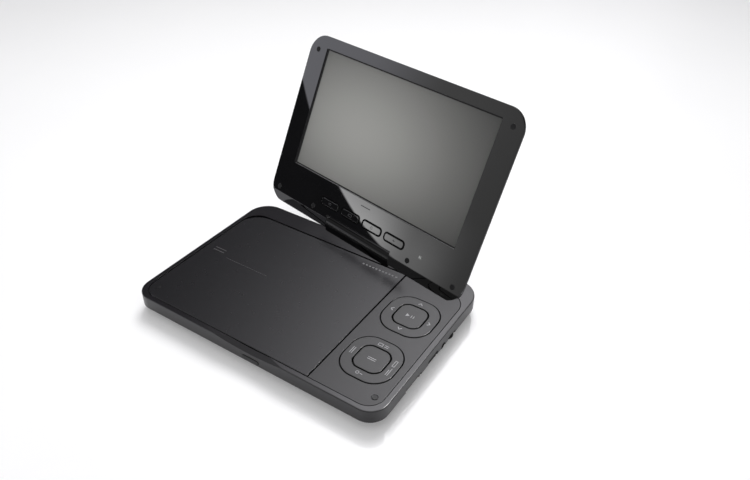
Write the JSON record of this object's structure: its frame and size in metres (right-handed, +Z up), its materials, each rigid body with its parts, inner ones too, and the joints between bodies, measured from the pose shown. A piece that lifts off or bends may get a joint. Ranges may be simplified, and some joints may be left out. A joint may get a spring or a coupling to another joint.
{
  "type": "portable disc player with swivel screen",
  "caption": "Portable disc player: flat base with hinged disc lid and ring keys, and a screen on a swivel and tilt hinge at the rear.",
  "frame": {"origin": "centre of the base's flat underside, between the rubber feet", "axes": "+X to the player's right (keys side), +Y to the rear (screen side), +Z up; the screen stands open at rest"},
  "size_m": [0.2227, 0.2188, 0.1562],
  "materials": {
    "case_plastic": "satin",
    "lid_plastic": "satin",
    "key_plastic": "satin",
    "inner_plastic": "matte",
    "screen_gloss": "gloss",
    "screen_back": "satin",
    "lcd": "anti-glare",
    "rubber_black": "matte",
    "steel": "brushed",
    "board": "satin",
    "cell": "satin",
    "lens_glass": "clear",
    "led": "clear"
  },
  "bodies": {
    "base": {"base_top_cover": "case_plastic", "base_bottom_cover": "case_plastic", "rubber_feet": "rubber_black", "case_screws": "steel", "control_panel": "case_plastic", "panel_bumper": "rubber_black", "key_mat": "rubber_black", "key_board": "board", "lid_hinge_pins": "steel", "loader_chassis": "steel", "loader_dampers": "rubber_black", "loader_screws": "steel", "guide_rods": "steel", "spindle_motor": "steel", "sled_motor": "steel", "main_board": "board", "usb_port": "steel", "card_slot": "steel", "headphone_jack": "inner_plastic", "av_jack": "inner_plastic", "dc_jack": "inner_plastic", "battery_cells": "cell", "speakers": "steel"},
    "disc_lid": {"disc_lid": "lid_plastic", "lid_bumper": "rubber_black"},
    "open_button": {"open_button": "key_plastic"},
    "playback_web": {"playback_ring_web": "inner_plastic"},
    "playback_ring": {"playback_ring": "key_plastic"},
    "play_key": {"play_key": "key_plastic"},
    "menu_web": {"menu_ring_web": "inner_plastic"},
    "menu_ring": {"menu_ring": "key_plastic"},
    "enter_key": {"enter_key": "key_plastic"},
    "turntable": {"turntable": "inner_plastic", "clamp_balls": "steel"},
    "lead_screw": {"lead_screw": "steel"},
    "sled": {"pickup_sled": "inner_plastic"},
    "lens": {"objective_lens": "lens_glass"},
    "volume_dial": {"volume_dial": "key_plastic"},
    "power_switch": {"power_switch": "key_plastic"},
    "swivel": {"swivel_turret": "inner_plastic", "barrel_cover": "inner_plastic", "swivel_post": "steel", "swivel_retainer": "steel", "friction_sleeves": "steel", "hinge_cable": "rubber_black"},
    "screen": {"screen_bezel": "screen_gloss", "screen_back_cover": "screen_back", "lcd_panel": "lcd", "backlight_tray": "steel", "screen_board": "board", "screen_key_board": "board", "screen_screws": "steel", "screw_covers": "rubber_black", "power_led": "led", "tilt_shafts": "steel", "hinge_brackets": "steel"},
    "mode_key": {"mode_key": "screen_gloss"},
    "source_key": {"source_key": "screen_gloss"},
    "picture_key": {"picture_key": "screen_gloss"},
    "mute_key": {"mute_key": "screen_gloss"}
  },
  "joints": [
    {"name": "screen_swivel", "type": "hinge", "parent": "base", "child": "swivel", "pos_m": [0, 0.067, 0.0224], "axis": [0, 0, 1], "range_deg": [-168.7, 11.3]},
    {"name": "screen_tilt", "type": "hinge", "parent": "swivel", "child": "screen", "pos_m": [0, 0.067, 0.0224], "axis": [-0.9806, 0.1959, 0], "range_deg": [-114.4, 65.6]},
    {"name": "lid_hinge", "type": "hinge", "parent": "base", "child": "disc_lid", "pos_m": [0, 0.051, 0.0126], "axis": [-1, 0, 0], "range_deg": [0, 50]},
    {"name": "open_press", "type": "slide", "parent": "base", "child": "open_button", "axis": [0, 1, 0], "range_m": [0, 0.0015]},
    {"name": "playback_rock_x", "type": "hinge", "parent": "base", "child": "playback_web", "pos_m": [0.0779, 0.0169, 0.0134], "axis": [1, 0, 0], "range_deg": [-1.5, 1.5]},
    {"name": "playback_rock_y", "type": "hinge", "parent": "playback_web", "child": "playback_ring", "pos_m": [0.0779, 0.0169, 0.0134], "axis": [0, 1, 0], "range_deg": [-1.5, 1.5]},
    {"name": "play_press", "type": "slide", "parent": "base", "child": "play_key", "axis": [0, 0, -1], "range_m": [0, 0.0005]},
    {"name": "menu_rock_x", "type": "hinge", "parent": "base", "child": "menu_web", "pos_m": [0.0779, -0.0341, 0.0134], "axis": [1, 0, 0], "range_deg": [-1.5, 1.5]},
    {"name": "menu_rock_y", "type": "hinge", "parent": "menu_web", "child": "menu_ring", "pos_m": [0.0779, -0.0341, 0.0134], "axis": [0, 1, 0], "range_deg": [-1.5, 1.5]},
    {"name": "enter_press", "type": "slide", "parent": "base", "child": "enter_key", "axis": [0, 0, -1], "range_m": [0, 0.0005]},
    {"name": "turntable_spin", "type": "hinge", "parent": "base", "child": "turntable", "pos_m": [-0.0261, -0.0085, 0], "axis": [0, 0, 1], "continuous": true},
    {"name": "sled_travel", "type": "slide", "parent": "base", "child": "sled", "axis": [1, 0, 0], "range_m": [0, 0.033]},
    {"name": "lead_screw_turn", "type": "hinge", "parent": "base", "child": "lead_screw", "pos_m": [0, -0.0335, 0.0046], "axis": [1, 0, 0], "range_deg": [0, 3960]},
    {"name": "volume_turn", "type": "hinge", "parent": "base", "child": "volume_dial", "pos_m": [0.102, 0.0255, 0.0062], "axis": [0, 0, 1], "range_deg": [-135, 135]},
    {"name": "lens_focus", "type": "slide", "parent": "sled", "child": "lens", "axis": [0, 0, 1], "range_m": [-0.0003, 0.0003]},
    {"name": "power_slide", "type": "slide", "parent": "base", "child": "power_switch", "axis": [0, 1, 0], "range_m": [0, 0.003]},
    {"name": "mode_press", "type": "slide", "parent": "screen", "child": "mode_key", "axis": [0.1785, 0.893, -0.4131], "range_m": [0, 0.0004]},
    {"name": "source_press", "type": "slide", "parent": "screen", "child": "source_key", "axis": [0.1785, 0.893, -0.4131], "range_m": [0, 0.0004]},
    {"name": "picture_press", "type": "slide", "parent": "screen", "child": "picture_key", "axis": [0.1785, 0.893, -0.4131], "range_m": [0, 0.0004]},
    {"name": "mute_press", "type": "slide", "parent": "screen", "child": "mute_key", "axis": [0.1785, 0.893, -0.4131], "range_m": [0, 0.0004]}
  ],
  "couplings": [
    {"joint": "lead_screw_turn", "follows": "sled_travel", "rad_per_m": 2094.4}
  ]
}
